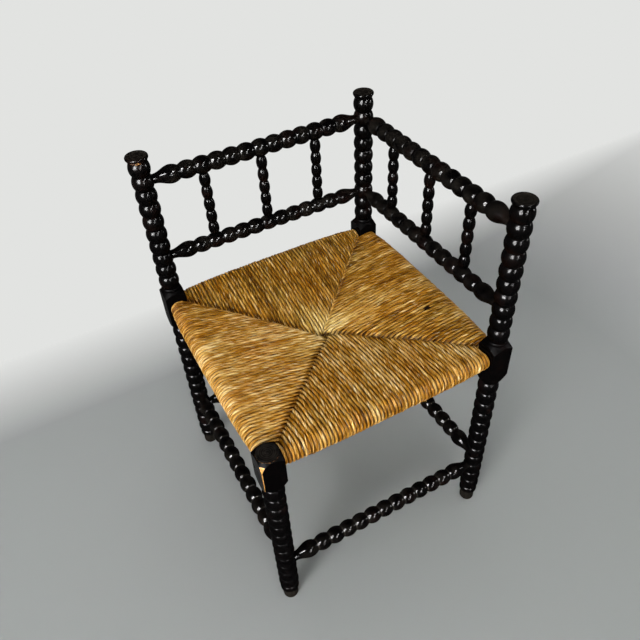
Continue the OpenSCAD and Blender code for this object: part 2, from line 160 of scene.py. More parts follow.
def makeEbonised(name, grainAxis):
    material, tree = newMaterial(name)
    e = ebonised
    place = addNode(tree, "TexCoord").outputs["Object"]
    kept = [addNode(tree, "Attribute", attribute_name=k) for k in ("worn", "dull", "dustAndSheenShare", "sheen")]
    worn, dull, dustAndSheenShare, sheen = (node.outputs["Fac"] for node in kept)
    grainSizes = [e["grainWidth"]] * 3
    grainSizes[grainAxis] = e["grainLength"]
    markSizes = [e["grainLength"]] * 3
    markSizes[grainAxis] = e["turningMark"]
    grain = patternOf(tree, place, grainSizes, 4.0, 0.6)
    marks = patternOf(tree, place, markSizes, 2.0)
    cloud = patternOf(tree, place, [e["cloud"]] * 3)
    chafe = patternOf(tree, place, [e["chafe"]] * 3, 4.0, 0.7)
    ripple = patternOf(tree, place, [e["ripple"]] * 3, 1.0)

    kinds = ("stain", "thinStain", "oldBare", "freshBare")
    stain, thinStain, oldBare, freshBare = (addNode(tree, "ValToRGB", [grain], e[k]) for k in kinds)
    thin = addNode(tree, "MapRange", [cloud, *e["thinRange"]])
    black = addNode(tree, "Mix", {0: thin, 6: stain, 7: thinStain}, data_type="RGBA")
    mottle = addNode(tree, "MapRange", [chafe, *e["dustAndSheenRange"], e["leastDustAndSheen"], 1.0])
    # Dust, and on the rails a film of painted sheen, greys the black
    dustAndSheen = addNode(tree, "Math", [dustAndSheenShare, mottle], operation="MULTIPLY")
    greyed = addNode(tree, "Mix", {0: dustAndSheen, 6: black, 7: colour(e["dustAndSheen"])}, data_type="RGBA")
    fresh = addNode(tree, "MapRange", [worn, *e["freshRange"]])
    bareWood = addNode(tree, "Mix", {0: fresh, 6: oldBare, 7: freshBare}, data_type="RGBA")
    ragged = addNode(tree, "Math", [chafe, e["ragged"], worn], operation="MULTIPLY_ADD")
    bare = addNode(tree, "MapRange", [ragged, *e["bareRange"]])

    gloss = addNode(tree, "MapRange", [cloud, *e["hazyRange"], e["clear"], e["hazy"]])
    gloss = addNode(tree, "Math", [dull, e["dullRough"], gloss], operation="MULTIPLY_ADD")
    gloss = addNode(tree, "Math", [bare, e["bareRough"], gloss], operation="MULTIPLY_ADD")
    polish = addNode(tree, "MapRange", [dull, 0.0, 1.0, e["polish"], e["leastPolish"]])
    relief = addNode(tree, "Math", [marks, e["markShare"], grain], operation="MULTIPLY_ADD")
    wavy = addNode(tree, "Bump", {"Height": ripple, "Strength": 0.6, "Distance": e["rippleDepth"] * mm})
    bump = {"Height": relief, "Strength": 0.3, "Distance": e["grainDepth"] * mm, "Normal": wavy}
    bumpy = addNode(tree, "Bump", bump)
    surface = addNode(tree, "BsdfPrincipled", {
        "Base Color": addNode(tree, "Mix", {0: bare, 6: greyed, 7: bareWood}, data_type="RGBA"),
        "Roughness": 0.6,
        "Specular IOR Level": 0.0,  # all the shine is the thin polish's
        "Normal": bumpy,
        "Coat Weight": addNode(tree, "Math", [polish, sheen], operation="ADD"),
        "Coat Roughness": gloss,
        "Coat IOR": 1.5,
        "Coat Normal": bumpy,
    })
    addNode(tree, "OutputMaterial", {"Surface": surface})
    return material


woodUpright = makeEbonised("ebonised_wood_upright", 2)
woodAlongX = makeEbonised("ebonised_wood_along_x", 0)
woodAlongY = makeEbonised("ebonised_wood_along_y", 1)


# Turning

smooth = {"beadSteps": 14, "around": 56, "railAround": 48, "spindleAround": 36, "sharpAngle": 32}


# Radius and height along one bead, from groove to groove. At a fullness of 1 it is near a circle's arc, and
# below that it is fuller. Its points lie closest together at the grooves
def beadArc(low, length, bead, groove, fullness, start=0.0, steps=smooth["beadSteps"]):
    rise = (bead - groove) / 2
    points = []
    for i in range(steps + 1):
        share = start + (1 - start) * (1 - math.cos(math.pi * i / steps)) / 2
        across = max(0.0, 1 - (2 * share - 1) ** 2)
        points.append((groove / 2 + rise * across ** fullness, low + share * length))
    return points


# A row of beads, each a little slimmer than the fattest, as a turner leaves them
def beadRow(low, count, length, bead, groove, fullness, rng, uneven=0.25):
    points = []
    for i in range(count):
        run = beadArc(low + i * length, length, bead - abs(rng.gauss(0, uneven)), groove, fullness)
        points += run if i == 0 else run[1:]
    return points


# An arc of a rounded edge, from one angle to another in degrees
def roundEdge(x, z, r, fromTurn, toTurn, steps=6):
    turns = [math.radians(fromTurn + (toTurn - fromTurn) * i / steps) for i in range(steps + 1)]
    return [(x + r * math.cos(t), z + r * math.sin(t)) for t in turns]


def straight(start, end, steps):
    shares = [i / steps for i in range(1, steps + 1)]
    return [(start[0] + (end[0] - start[0]) * s, start[1] + (end[1] - start[1]) * s) for s in shares]


# Spins a profile of radius and height, in millimetres, into a closed turned solid
def turnedSolid(points, around):
    solid = bmesh.new()
    verts = [solid.verts.new((r * mm, 0, z * mm)) for r, z in points]
    edges = [solid.edges.new(pair) for pair in zip(verts, verts[1:])]
    bmesh.ops.spin(solid, geom=verts + edges, cent=(0, 0, 0), axis=(0, 0, 1), angle=fullTurn,
                   steps=around, use_merge=True)
    bmesh.ops.remove_doubles(solid, verts=solid.verts, dist=samePlace)
    bmesh.ops.recalc_face_normals(solid, faces=solid.faces)
    return solid


# Cuts the solid flat at a plane and closes the cut
def cutFlat(solid, point, normal):
    cut = bmesh.ops.bisect_plane(
        solid, geom=solid.verts[:] + solid.edges[:] + solid.faces[:],
        plane_co=point, plane_no=normal, clear_outer=True, dist=samePlace / 10,
    )
    rim = [g for g in cut["geom_cut"] if isinstance(g, bmesh.types.BMEdge)]
    return bmesh.ops.edgeloop_fill(solid, edges=rim)["faces"]


# Paints an attribute on the corners of the faces, from a function of the place in millimetres
def paint(solid, name, amount, faces=None):
    layer = solid.loops.layers.float.get(name) or solid.loops.layers.float.new(name)
    for face in faces or solid.faces:
        for corner in face.loops:
            corner[layer] = max(corner[layer], min(1.0, amount(corner.vert.co / mm)))


# How dull a turned place is, from 1 at the bottom of the groove between two beads to 0 on the bead. The
# height and the fade are shares of the bead's rise
def grooveDull(place, bead, groove, height=0.14, fade=0.1):
    depth = (place.xy.length - groove / 2) / ((bead - groove) / 2)
    return max(0.0, min(1.0, (height - depth) / fade))


# How near a place is to a spot, from 1 at its middle to 0 at its reach
def nearness(place, spot, reach):
    return max(0.0, 1 - (place - Vector(spot)).length / reach)


def placePiece(mesh, nodeName):
    piece = bpy.data.objects.new(mesh.name, mesh)
    scene.collection.objects.link(piece)
    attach(piece, "root")
    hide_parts(nodeName)


def finishTurning(solid, nodeName, material):
    bmesh.ops.recalc_face_normals(solid, faces=solid.faces)
    mesh = bpy.data.meshes.new(nodeName + "_turned")
    solid.to_mesh(mesh)
    solid.free()
    for face in mesh.polygons:
        face.use_smooth = True
    mesh.set_sharp_from_angle(angle=math.radians(smooth["sharpAngle"]))
    mesh.materials.append(material)
    placePiece(mesh, nodeName)


# Posts. Lengths are in millimetres. A pair in a list is a step across and a step up, or down in the dish

post = {
    "seed": 10,
    "stock": 38.0, "blockSpare": 0.95,
    "bead": 36.0, "groove": 27.0, "fullness": 0.84,
    "legBeads": 12, "upperBeads": 10,
    "footD": 27.5, "footLen": 28.0, "footEdge": 3.0,
    "tailLen": 12.0, "tailD": 34.0, "tailStart": 0.25,
    "blockTop": 440.0, "blockLen": 58.0, "underCone": 24.0,
    "overCone": 10.5, "overConeD": 31.0, "ringLen": 7.0, "ringD": 34.0,
    "capD": 37.0, "capLen": 9.5, "capNeck": 3.0, "capNeckD": 32.5, "capRim": 3.0,
    "neckFoot": [(-0.5, 0.2), (0.0, 0.9)], "neckHead": [(0.0, -0.7), (-0.6, 0.0)],
    "dishRim": 2.5, "dishSlope": 2.0, "dishDepth": 1.3, "dishFlat": 0.8,
    "dishLip": [(0.4, 0.0), (-0.2, 0.12)], "dishWaist": 0.6,  # down in shares of the depth
    "centreMark": 1.2, "markShape": [(0.5, 0.6), (0.0, 0.7)],  # shares of the mark's radius
    "discD": 33.5, "discH": 2.0, "discGroove": 1.0, "discEase": 0.5, "shortCone": 12.0,
    "discShallower": 3,  # times, than the caps' dish
    "arris": 1.4, "arrisInside": 0.6,
    "footSteps": 4, "tailSteps": 10, "coneSteps": 6, "ringSteps": 8, "dishSteps": 18,
}

# The knocks on the front leg's outer corner, each a slanting cut that is widest at its top
chips = [
    {"width": 0.8, "top": 437.0, "bottom": 380.0, "bare": 0.68},
    {"width": 6.0, "top": 433.0, "bottom": 425.0, "bare": 1.0},
]


# A flat rim, a shallow turned dish and the mark of the lathe's centre
def dishedTop(rim, height, depth):
    p = post
    floor = height - depth
    edge = rim - p["dishRim"]
    foot = edge - p["dishSlope"]
    points = [(edge + across, height - depth * down) for across, down in p["dishLip"]]
    points += [((edge + foot) / 2, height - depth * p["dishWaist"])]
    points += [(foot, floor), (foot - p["dishFlat"], floor)]
    points += straight(points[-1], (p["centreMark"], floor), p["dishSteps"])
    mark = [(p["centreMark"] * across, floor - p["centreMark"] * down) for across, down in p["markShape"]]
    return points + mark


def postProfile(height, tall, rng):
    p = post
    beads = (p["bead"], p["groove"], p["fullness"], rng)
    legLow = p["footLen"] + p["tailLen"]
    blockLow = p["blockTop"] - p["blockLen"]
    legTop = blockLow - p["underCone"]
    reach = p["stock"] / math.sqrt(2) + p["blockSpare"]
    tailFull = p["tailLen"] / (1 - p["tailStart"])
    points = [(0, 0)]
    points += roundEdge(p["footD"] / 2 - p["footEdge"], p["footEdge"], p["footEdge"], -90, 0)
    points += straight(points[-1], (p["footD"] / 2, p["footLen"]), p["footSteps"])
    points += beadArc(legLow - tailFull, tailFull, p["tailD"], p["groove"], p["fullness"], p["tailStart"],
                      p["tailSteps"])
    points += beadRow(legLow, p["legBeads"], (legTop - legLow) / p["legBeads"], *beads)[1:]
    points += straight(points[-1], (reach, blockLow), p["coneSteps"])
    if tall:
        ringLow = p["blockTop"] + p["overCone"]
        upperLow = ringLow + p["ringLen"]
        upperTop = height - p["capLen"]
        points += straight(points[-1], (reach, p["blockTop"]), p["coneSteps"])
        points += straight(points[-1], (p["overConeD"] / 2, ringLow), p["coneSteps"])
        points += beadArc(ringLow, p["ringLen"], p["ringD"], p["overConeD"], p["fullness"], 0,
                          p["ringSteps"])[1:-1]
        points += beadRow(upperLow, p["upperBeads"], (upperTop - upperLow) / p["upperBeads"], *beads)
        capLow = upperTop + p["capNeck"]
        neck = p["capNeckD"] / 2
        rim = p["capD"] / 2 - p["capRim"]
        points += [(neck + across, upperTop + up) for across, up in p["neckFoot"]]
        points += [(neck + across, capLow + up) for across, up in p["neckHead"]]
        points += roundEdge(rim, capLow + p["capRim"], p["capRim"], -90, 0)[1:]
        points += roundEdge(rim, height - p["capRim"], p["capRim"], 0, 90)
        points += dishedTop(rim, height, p["dishDepth"])
    else:
        disc = p["discD"] / 2
        ease = p["discEase"]
        points += straight(points[-1], (reach, height - p["shortCone"]), p["coneSteps"])
        points += straight(points[-1], (disc + p["discGroove"], height - p["discH"]), p["coneSteps"])
        points += [(disc, height - p["discH"]), (disc, height - ease), (disc - ease, height)]
        points += dishedTop(disc - ease, height, p["dishDepth"] / p["discShallower"])
    return points


# The four upright corners of the block are eased with a plane stroke
def easeBlock(solid):
    half = post["stock"] / 2
    near = 0.01  # mm
    atCorner = [
        e for e in solid.edges
        if all(abs(abs(v.co.x / mm) - half) < near and abs(abs(v.co.y / mm) - half) < near for v in e.verts)
    ]
    bmesh.ops.bevel(solid, geom=atCorner, offset=post["arris"] * mm, offset_type="WIDTH", affect="EDGES",
                    segments=2, profile=0.5, material=-1)


def knockCorner(solid, chip):
    corner = (post["stock"] - post["arris"] * post["arrisInside"]) / 2
    lean = math.atan2(chip["width"] / 2, chip["top"] - chip["bottom"])
    out = math.cos(lean) / math.sqrt(2)
    foot = Vector((-corner, -corner, chip["bottom"])) * mm
    return cutFlat(solid, foot, Vector((-out, -out, math.sin(lean))))


# How far the posts have dulled, where dust lies and where the black is rubbed off, in millimetres from the
# foot, the block or the top, and in shares of the whole. Angles are degrees round the post from the right
postAge = {
    "blockDull": 0.95, "blockUnder": 20.0,
    "leftFaceDull": 0.0, "leftFaceSheen": 0.16, "faceNear": 0.05, "facingLeft": -0.99,
    "legDull": 0.18, "upperDull": 0.16,
    "topDull": 0.6, "topEdge": 3.0, "topDepth": 2.5, "footDullOver": 8.0, "footDullFade": 12.0,
    "dustAndSheen": 0.5, "dustEdge": 1.5, "ringDust": 0.3, "ringWidth": 3.1, "patchDust": 0.5, "patchScale": 0.2,
    "footDustOver": 6.0, "footDustFade": 8.0,
    "wander": 0.4, "wanderScale": 1.4, "seedApart": 3.7,
    "rimBare": 0.22, "rimWidth": 1.2, "rimDepth": 9, "footBare": 0.4, "footHeight": 2.5, "footMiddle": 9,
    "edgeBare": 0.1, "edgeFrom": 17.5, "neckBare": 0.15, "leftNeckBare": 0.58, "neckTurn": -115,
}

# The front leg's disc is rubbed all round its edge, most towards the knocked corner
discAge = {
    "outside": 0.6, "width": 1.2, "low": 3, "high": 1, "bare": 0.52, "moreBare": 0.35, "turn": -125,
    "spot": (-12, -19, 431), "spotReach": 6, "shoulderLow": 428, "shoulderSlope": 0.2,
}


def discWear(place, height):
    d = discAge
    ring = max(0.0, 1 - abs(place.xy.length - post["discD"] / 2 - d["outside"]) / d["width"])
    near = ring if height - d["low"] < place.z < height - d["high"] else 0.0
    facing = 0.5 + 0.5 * math.cos(math.atan2(place.y, place.x) - math.radians(d["turn"]))
    return max(near * (d["bare"] + d["moreBare"] * facing), nearness(place, d["spot"], d["spotReach"]))


def makePost(nodeName, seed):
    p = post
    a = postAge
    low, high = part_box(nodeName)
    middle = (low + high) / 2
    height = high.z / mm
    tall = height > p["blockTop"] + p["overCone"]
    rng = random.Random(seed)
    solid = turnedSolid(postProfile(height, tall, rng), smooth["around"])
    half = p["stock"] / 2 * mm
    for normal in ((1, 0, 0), (0, 1, 0), (-1, 0, 0), (0, -1, 0)):
        cutFlat(solid, Vector(normal) * half, normal)
    easeBlock(solid)
    blockLow = p["blockTop"] - p["blockLen"]
    blockEnd = p["blockTop"] + p["overCone"] + p["ringLen"]

    # The polish is dull on the foot, the block and the top and in the grooves, and left on the block's
    # left face
    def dullAt(place):
        onTop = place.xy.length < p["capD"] / 2 - a["topEdge"] and place.z > height - a["topDepth"]
        top = a["topDull"] if onTop else 0.0
        foot = min(1.0, max(0.0, (p["footLen"] + a["footDullOver"] - place.z) / a["footDullFade"]))
        if not tall and place.z > height - p["shortCone"] and not top:
            return 1.0
        if blockLow - a["blockUnder"] < place.z < blockEnd:
            return a["leftFaceDull"] if place.x < a["faceNear"] - p["stock"] / 2 else a["blockDull"]
        length = a["legDull"] if place.z < blockLow else a["upperDull"]
        return max(top, foot, length, grooveDull(place, p["bead"], p["groove"]))

    def dustAndSheenAt(place):
        top = 0.0
        if place.xy.length < p["capD"] / 2 - a["dustEdge"] and place.z > height - a["topDepth"]:
            top = a["dustAndSheen"] + a["ringDust"] * math.cos(fullTurn * place.xy.length / a["ringWidth"])
            top += a["patchDust"] * noise.noise(place * a["patchScale"] + Vector((seed, 0, 0)))
        foot = min(1.0, max(0.0, (p["footLen"] + a["footDustOver"] - place.z) / a["footDustFade"]))
        return max(top, foot)

    def wornAt(place):
        turn = math.atan2(place.y, place.x)
        around = Vector((math.cos(turn), math.sin(turn), seed * a["seedApart"]))
        wander = a["wander"] * noise.noise(around * a["wanderScale"])
        onRim = place.xy.length > p["capD"] / 2 - a["rimWidth"] and place.z > height - a["rimDepth"]
        rim = a["rimBare"] + wander if onRim else 0.0
        onFoot = place.z < a["footHeight"] and place.xy.length > a["footMiddle"]
        foot = a["footBare"] + wander if onFoot else 0.0
        onEdge = abs(place.x) > a["edgeFrom"] and abs(place.y) > a["edgeFrom"]
        edge = a["edgeBare"] + wander if onEdge else 0.0
        neck = 0.0
        if tall and abs(place.z - (height - p["capLen"] + p["capNeck"] / 2)) < p["capNeck"] / 2:
            facing = max(0.0, math.cos(turn - math.radians(a["neckTurn"])))
            neck = (a["leftNeckBare"] if nodeName == "left_post" else a["neckBare"]) * facing + wander
        return max(0.0, rim, foot, edge, neck)

    paint(solid, "dull", dullAt)
    paint(solid, "dustAndSheenShare", dustAndSheenAt)
    paint(solid, "worn", wornAt)
    if not tall:
        leftFace = [f for f in solid.faces if f.normal.x < a["facingLeft"]]
        paint(solid, "sheen", lambda place: a["leftFaceSheen"], leftFace)
        for chip in chips:
            paint(solid, "worn", lambda place: chip["bare"], knockCorner(solid, chip))
        rising = [f for f in solid.faces if f.normal.z > discAge["shoulderSlope"]]
        shoulder = [f for f in rising if f.calc_center_median().z > discAge["shoulderLow"] * mm]
        paint(solid, "worn", lambda place: discWear(place, height), shoulder)
    bmesh.ops.translate(solid, verts=solid.verts, vec=(middle.x, middle.y, 0))
    finishTurning(solid, nodeName, woodUpright)


for seed, nodeName in enumerate(("left_post", "corner_post", "right_post", "front_leg")):
    makePost(nodeName, post["seed"] + seed)
print("posts turned")


# Rails and stretchers

rail = {
    "seed": 40,
    "beads": 11, "bulge": 14.0, "taper": 29.0, "taperSteps": 14, "neckD": 16.0, "web": 1.5,
    "top": (31.0, 22.0), "lower": (28.5, 20.5), "stretcher": (30.0, 21.0),  # mm, bead and groove
    "fullness": 1.0,
    # A grey film in patches, painted sheen for a soft broad reflection, heaviest on the arm rails,
    # and the dust in the grooves
    "film": 0.1, "armFilm": 0.2, "filmPatch": 0.5, "patchScale": 0.06,
    "grooveDust": {"top": 0.1, "lower": 0.1, "stretcher": 0.9}, "groovePatch": 0.6, "dustHigh": 1.1,
    "dullHigh": 0.2, "rowSpare": 1,
    # Bare wood shows as a crescent where the neck goes into the post
    "bare": 0.45, "bareWander": 0.6, "bareOut": 2.5, "bareWidth": 2.5,
    "aroundScale": 1.2, "alongScale": 0.05,
}


def railProfile(half, bead, groove, rng):
    r = rail
    reach = half - post["bead"] / 2 - r["taper"] - r["bulge"]
    end = half - r["neckD"] / 2 - r["web"]
    tip = beadArc(reach, 2 * r["bulge"], bead, groove, r["fullness"])[1:smooth["beadSteps"] // 2 + 1]
    for i in range(1, r["taperSteps"] + 1):
        share = i / r["taperSteps"]
        radius = r["neckD"] / 2 + (bead - r["neckD"]) / 4 * (1 + math.cos(math.pi * share))
        tip.append((radius, reach + r["bulge"] + r["taper"] * share))
    tip += [(r["neckD"] / 2, end), (0, end)]
    row = beadRow(-reach, r["beads"], 2 * reach / r["beads"], bead, groove, r["fullness"], rng)
    return [(x, -z) for x, z in reversed(tip)] + row + tip


def makeRail(nodeName, kind, seed):
    r = rail
    low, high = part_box(nodeName)
    middle = (low + high) / 2
    alongX = high.x - low.x > high.y - low.y
    length = max(high.x - low.x, high.y - low.y) / mm
    half = length / 2 + r["neckD"] / 2 + r["web"]
    inRow = half - post["bead"] / 2 - r["taper"] - r["bulge"] + r["rowSpare"]
    film = r["armFilm"] if nodeName.startswith("arm") else r["film"]
    bead, groove = r[kind]
    solid = turnedSolid(railProfile(half, bead, groove, random.Random(seed)), smooth["railAround"])

    def wornAt(place):
        turn = math.atan2(place.y, place.x)
        around = Vector((math.cos(turn), math.sin(turn), place.z * r["alongScale"] + seed))
        wander = noise.noise(around * r["aroundScale"])
        off = abs(abs(place.z) - (half - post["bead"] / 2 + r["bareOut"]))
        near = max(0.0, 1 - off / r["bareWidth"])
        return max(0.0, near * (r["bare"] + r["bareWander"] * wander))

    def dullAt(place):
        return grooveDull(place, bead, groove, r["dullHigh"]) if abs(place.z) < inRow else 0.0

    def dustAndSheenAt(place):
        wander = noise.noise(place * r["patchScale"] + Vector((seed, 0, 0)))
        inGroove = place.xy.length < groove / 2 + r["dustHigh"] and abs(place.z) < inRow
        grooveDust = r["grooveDust"][kind] + r["groovePatch"] * wander if inGroove else 0.0
        # Dust in the grooves, and over the whole rail a film of painted sheen
        return max(0.0, grooveDust, film + r["filmPatch"] * wander)

    paint(solid, "worn", wornAt)
    paint(solid, "dull", dullAt)
    paint(solid, "dustAndSheenShare", dustAndSheenAt)
    turn = Matrix.Rotation(math.pi / 2, 3, "Y" if alongX else "X")
    bmesh.ops.rotate(solid, verts=solid.verts, cent=(0, 0, 0), matrix=turn)
    bmesh.ops.translate(solid, verts=solid.verts, vec=middle)
    finishTurning(solid, nodeName, woodAlongX if alongX else woodAlongY)


railKinds = {
    "back_top_rail": "top", "arm_top_rail": "top",
    "back_lower_rail": "lower", "arm_lower_rail": "lower",
    "front_stretcher": "stretcher", "back_stretcher": "stretcher",
    "left_stretcher": "stretcher", "right_stretcher": "stretcher",
}
for seed, (nodeName, kind) in enumerate(railKinds.items()):
    makeRail(nodeName, kind, rail["seed"] + seed)
print("rails and stretchers turned")


# Spindles

spindle = {
    "seed": 70,
    "bead": 19.5, "groove": 13.0, "fullness": 0.95, "beads": 5, "uneven": 0.15,
    "tenonD": 10.0, "tenonLen": 9.0,
}


def makeSpindle(nodeName, seed):
    low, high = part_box(nodeName)
    middle = (low + high) / 2
    s = spindle
    bottom, top = low.z / mm, high.z / mm
    base, head = bottom + s["tenonLen"], top - s["tenonLen"]
    tenonR = s["tenonD"] / 2
    rng = random.Random(seed)
    points = [(0, bottom), (tenonR, bottom), (tenonR, base)]
    pitch = (head - base) / s["beads"]
    points += beadRow(base, s["beads"], pitch, s["bead"], s["groove"], s["fullness"], rng, s["uneven"])
    points += [(tenonR, head), (tenonR, top), (0, top)]
    solid = turnedSolid(points, smooth["spindleAround"])
    paint(solid, "dull", lambda place: grooveDull(place, s["bead"], s["groove"]))
    bmesh.ops.translate(solid, verts=solid.verts, vec=(middle.x, middle.y, 0))
    finishTurning(solid, nodeName, woodUpright)


spindleNodes = [name for name in sorted(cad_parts) if "spindle" in name]
for seed, nodeName in enumerate(spindleNodes):
    makeSpindle(nodeName, spindle["seed"] + seed)
print("spindles turned")


# Rush seat: one cord of twisted leaves, wound over the rails into four panels. Lengths are in millimetres

seat = {
    "seed": 100,
    "half": 205.0,         # middle of the seat to a rail's axis
    "blockHalf": 19.3,
    "endR": 7.9,           # radius that the cord is wound round, at a rail's ends
    "layer": 6.2,
    "sag": 37.0, "underSag": 15.0, "power": 1.05, "crown": 3.0,
    "cords": 60,
    "lay": 75.0,           # of cord for one whole turn of its twist
    "around": 12,
    "step": 4.6, "rollSteps": 12,
    "strands": 3, "lobe": 0.06, "lobeMiddle": 0.5, "oval": 0.05, "ovalTurn": 1,
    "girths": (0.94, 1.1), "swell": 0.14, "swellScale": 0.06,
    "wave": 1.3, "waveLength": 55.0, "waveWidth": 40,
    "jitter": 0.8, "jitterLength": 26.0, "calmWidth": 12,
    "hole": 6.0, "holeReach": 11.0,
    # How a cord comes out of the seam, over or under the next panel's, and goes back underneath: pairs of
    # cord widths from the seam and millimetres above the panel
    "over": [(-1.15, -8.5), (-1.0, -3.6), (-0.62, -0.4), (-0.1, 1.0)], "overEnd": 0.6, "overLift": 1.2,
    "under": [(-0.4, -9.5), (0.05, -5.8), (0.75, -3.0), (1.5, -1.0)], "underEnd": 2.3, "underLift": -0.3,
    "tuck": [(-0.3, 2.5), (-0.7, 7.5)],
    "liftWidth": 1.6, "leastTop": 6,
}

# How far apart two cords' random ways and marks are taken, so that no two cords are alike
apart = {
    "jitter": 7.3, "height": 5.1, "swell": 3.1, "leaf": 9.1, "furrowShade": 4.7, "hue": 3.3, "leaves": 1.37,
    "heightSeed": 9, "hueSeed": 5,
}

# How pale each panel's leaves are, how bleached, how much paler they are over the rail, how dark the painted
# shade in the furrows is, and the radius that the cord is wound round at the rail's middle
# The back and right panels' darker tone is partly their leaves' own colour and partly painted shade, as they
# face away from the lamps, and the left and front panels' paler tone is partly painted light, as they face
# them
panels = {
    "front": {"tone": 0.2, "hue": 0.04, "rub": -0.42, "furrowShade": 1.2, "midR": 12.2},
    "right": {"tone": -0.38, "hue": 0.22, "rub": 0.12, "furrowShade": 1.0, "midR": 13.2},
    "back": {"tone": -0.47, "hue": 0.3, "rub": 0.12, "furrowShade": 1.15, "midR": 13.2},
    "left": {"tone": 0.2, "hue": -0.04, "rub": 0.1, "furrowShade": 0.9, "midR": 13.2},
}
outwards = {
    "front": Vector((0, -1, 0)), "right": Vector((1, 0, 0)),
    "back": Vector((0, 1, 0)), "left": Vector((-1, 0, 0)),
}

seatRailBoxes = [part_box(name + "_seat_rail") for name in panels]
railZ = sum((low.z + high.z) / 2 for low, high in seatRailBoxes) / len(seatRailBoxes) / mm


# Outer radius of the cord layer round the rail, at a place along it
def rollRadius(along, midR):
    share = min(1, abs(along) / (seat["half"] - post["stock"] / 2))
    return seat["endR"] + (midR - seat["endR"]) * (1 - share ** 4) + seat["layer"]


# Height of the seat's top over the rails' axis. Every panel sinks to one height in the middle
def topHeight(out, along, midR):
    ring = min(1, out / seat["half"])
    across = min(1, abs(along) / max(out, 1))
    crown = seat["crown"] * 4 * ring * (1 - ring) * (1 - across ** 4)
    commonR = rollRadius(along, panels["back"]["midR"])
    rollR = commonR + (rollRadius(along, midR) - commonR) * ring ** 3
    hole = seat["hole"] * math.exp(-(out / seat["holeReach"]) ** 2)
    return rollR - seat["sag"] * (1 - ring) ** seat["power"] + crown - hole


def underHeight(out, along, midR):
    ring = min(1, out / seat["half"])
    return -rollRadius(along, midR) - seat["underSag"] * (1 - ring) ** seat["power"]


# The way of one cord, as places outward and up: out of the seam, over the rail and back underneath to
# the seam. Towards one end of a panel the cords pass over the next panel's, towards the other under
def cordWay(along, pitch, midR):
    s = seat
    near = abs(along)
    radius = s["layer"] / 2
    half = s["half"]
    kind = "over" if along > 0 else "under"

    def topAt(out):
        return topHeight(out, along, midR) - radius

    def underAt(out):
        return underHeight(out, along, midR) + radius

    way = [(near + widths * pitch, topAt(near) + up) for widths, up in s[kind]]
    start = min(near + s[kind + "End"] * pitch, half - s["leastTop"])
    steps = max(1, round((half - start) / s["step"]))
    run = [start + (half - start) * i / steps for i in range(steps + 1)]
    for out in run:
        lift = s[kind + "Lift"] * math.exp(-((out - near) / (s["liftWidth"] * pitch)) ** 2)
        way.append((out, topAt(out) + lift))
    ring = rollRadius(along, midR) - radius
    for i in range(1, s["rollSteps"]):
        angle = math.pi / 2 - math.pi * i / s["rollSteps"]
        way.append((half + ring * math.cos(angle), ring * math.sin(angle)))
    way += [(out, underAt(out)) for out in reversed(run)]
    way += [(near + widths * pitch, underAt(near) + up) for widths, up in s["tuck"]]
    return way


# The lobed section of a cord of twisted leaves, which a curve carries along
def sectionCurve():
    curve = bpy.data.curves.new("rush_section", "CURVE")
    curve.dimensions = "2D"
    line = curve.splines.new("POLY")
    line.points.add(seat["around"] - 1)
    for i, point in enumerate(line.points):
        turn = fullTurn * i / seat["around"]
        lobes = seat["lobe"] * (math.cos(seat["strands"] * turn) - seat["lobeMiddle"])
        r = 1 + lobes + seat["oval"] * math.cos(2 * turn + seat["ovalTurn"])
        point.co = (r * math.cos(turn), r * math.sin(turn), 0, 1)
    line.use_cyclic_u = True
    return bpy.data.objects.new("rush_section", curve)


# Twisted rush: dried leaves, straw yellow to brown along each leaf, some redder, some bleached, with
# painted highlights: pale glints painted in where a leaf lies flat. Patches are darker from use, the rubbed
# middle is bleached, and painted shade lies dark in the furrows between the cords. Each row goes from a
# leaf's darkest streaks to its palest
rush = {
    "golden": ["#2a1100", "#623602", "#96620e", "#bf8c36", "#e0bd7e", "#f9edc8"],
    "reddish": ["#281000", "#5d2e06", "#8f581e", "#b27c40", "#d6ac74", "#f4e2c0"],
    "bleached": ["#2f1a00", "#6b4b12", "#a07e34", "#c6a660", "#e3cb90", "#f9f0d2"],
    "steps": [0.0, 0.2, 0.42, 0.6, 0.78, 1.0],
    # Colours of the painted shade in the furrows and of the burnt spot
    "furrowShade": "#2e1200", "burn": "#040201",
    "leafLength": 22.0,     # mm, streaks along the cord
    "leafWidth": 1.3,       # mm, streaks across it
    "fibreWidth": 0.5,      # mm
    "fibreDepth": 0.5,      # mm
    "fibreRelief": 0.5,     # how deep the fibres are, beside the leaves
    # Painted highlights: the glint is a pale streak painted into the leaves' colour, where a leaf would lie
    # flat and shine
    "glintLength": 16.0, "glintWidth": 1.6, "glint": "#f8ebc0", "glintRange": (0.66, 0.76), "glintShare": 0.5,
    # How much leaf, fibre and tone each tell, and how far either way the row of colours then reaches
    "leafShare": 2.8, "fibreShare": 1.2, "toneShare": 0.5, "reach": 0.9,
    "skin": "#ffd9a0",      # the shine comes through a waxy skin
    "leafRange": (0.3, 0.7), "roughEdge": 0.5, "smoothEdge": 0.34,
}


